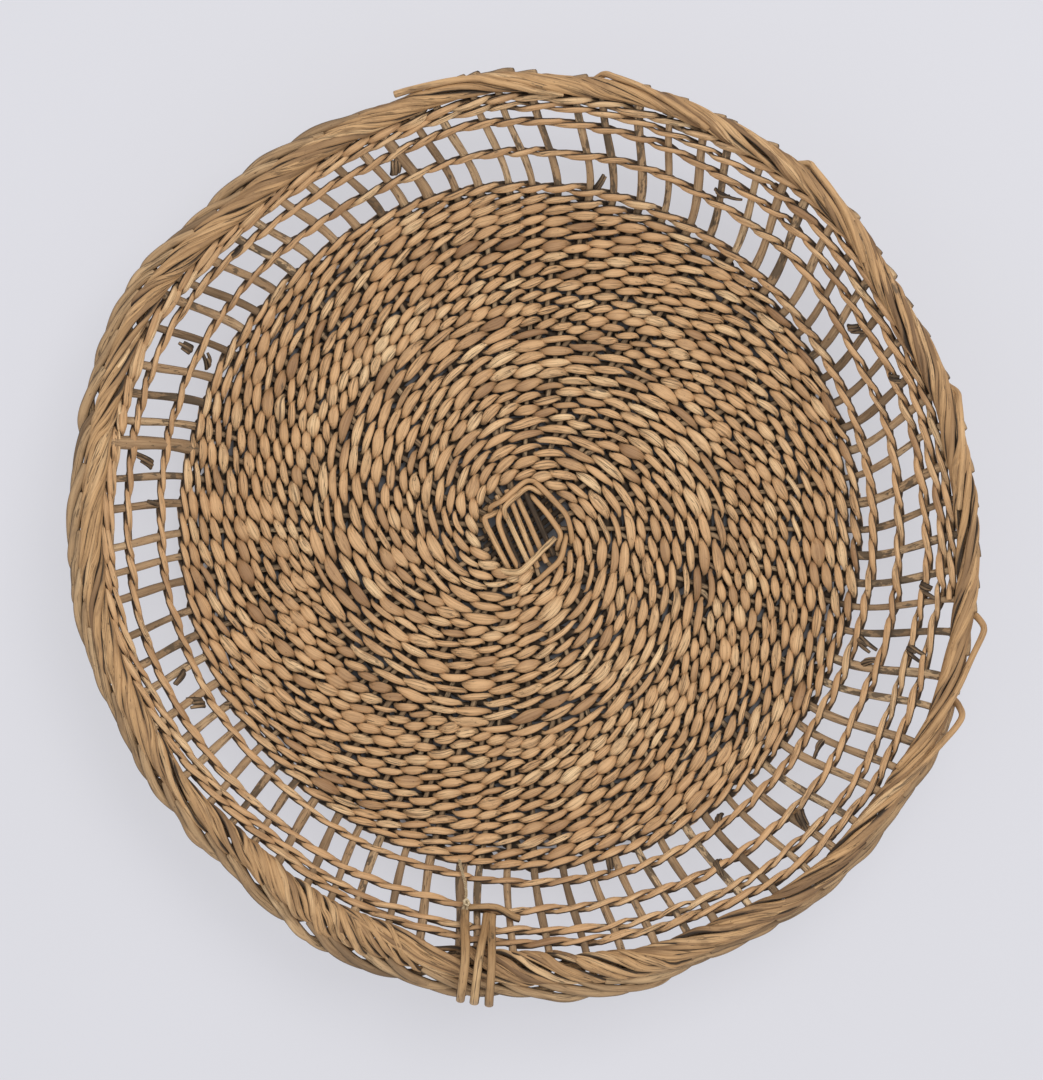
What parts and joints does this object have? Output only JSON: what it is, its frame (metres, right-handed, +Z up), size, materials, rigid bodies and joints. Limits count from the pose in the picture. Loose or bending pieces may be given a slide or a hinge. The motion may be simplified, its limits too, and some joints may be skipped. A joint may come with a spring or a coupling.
{
  "type": "winnowing basket",
  "caption": "Round shallow basket of paired willow weaving on radiating stakes, with an openwork side, a thick rolled border and a lashing.",
  "frame": {"origin": "centre of the base, on the surface that the basket stands on", "axes": "+Z up, out of the bowl; the lashing is at the front, towards -Y; +X to the right of it"},
  "size_m": [0.4996, 0.5035, 0.0861],
  "materials": {
    "slath_willow": "dry, golden tan, worn smooth on the crossings",
    "stake_willow": "dry, greyish brown with dark bark specks",
    "weaver_willow": "dry, golden tan, satin where rubbed, dark in the crossings",
    "border_willow": "dry, tan with faint olive and fine lengthwise grain",
    "plait_willow": "dry, tan, darker underneath",
    "lashing_willow": "dry, darker brown, satin",
    "cotton_string": "soft, matt, twisted and frayed"
  },
  "bodies": {
    "root": {"slath_sticks_over": "slath_willow", "slath_sticks_under": "slath_willow", "slath_tie_upper": "slath_willow", "slath_tie_lower": "slath_willow", "base_stakes_long": "stake_willow", "base_stakes_middle": "stake_willow", "base_stakes_short": "stake_willow", "side_stakes": "stake_willow", "base_round_01": "weaver_willow", "base_round_02": "weaver_willow", "base_round_03": "weaver_willow", "base_round_04": "weaver_willow", "base_round_05": "weaver_willow", "base_round_06": "weaver_willow", "base_round_07": "weaver_willow", "base_round_08": "weaver_willow", "base_round_09": "weaver_willow", "base_round_10": "weaver_willow", "base_round_11": "weaver_willow", "base_round_12": "weaver_willow", "base_round_13": "weaver_willow", "base_round_14": "weaver_willow", "base_round_15": "weaver_willow", "base_round_16": "weaver_willow", "base_round_17": "weaver_willow", "base_round_18": "weaver_willow", "base_round_19": "weaver_willow", "base_round_20": "weaver_willow", "base_round_21": "weaver_willow", "base_round_22": "weaver_willow", "base_round_23": "weaver_willow", "base_round_24": "weaver_willow", "openwork_round": "weaver_willow", "upper_round_1": "weaver_willow", "upper_round_2": "weaver_willow", "border_rod_1": "border_willow", "border_rod_2": "border_willow", "border_rod_3": "border_willow", "border_rod_4": "border_willow", "border_rod_5": "border_willow", "stray_rods": "border_willow", "border_plait_1": "plait_willow", "border_plait_2": "plait_willow", "lashing_wraps": "lashing_willow", "lashing_tail": "lashing_willow", "string_knot": "cotton_string", "tag_string": "cotton_string"}
  },
  "joints": []
}
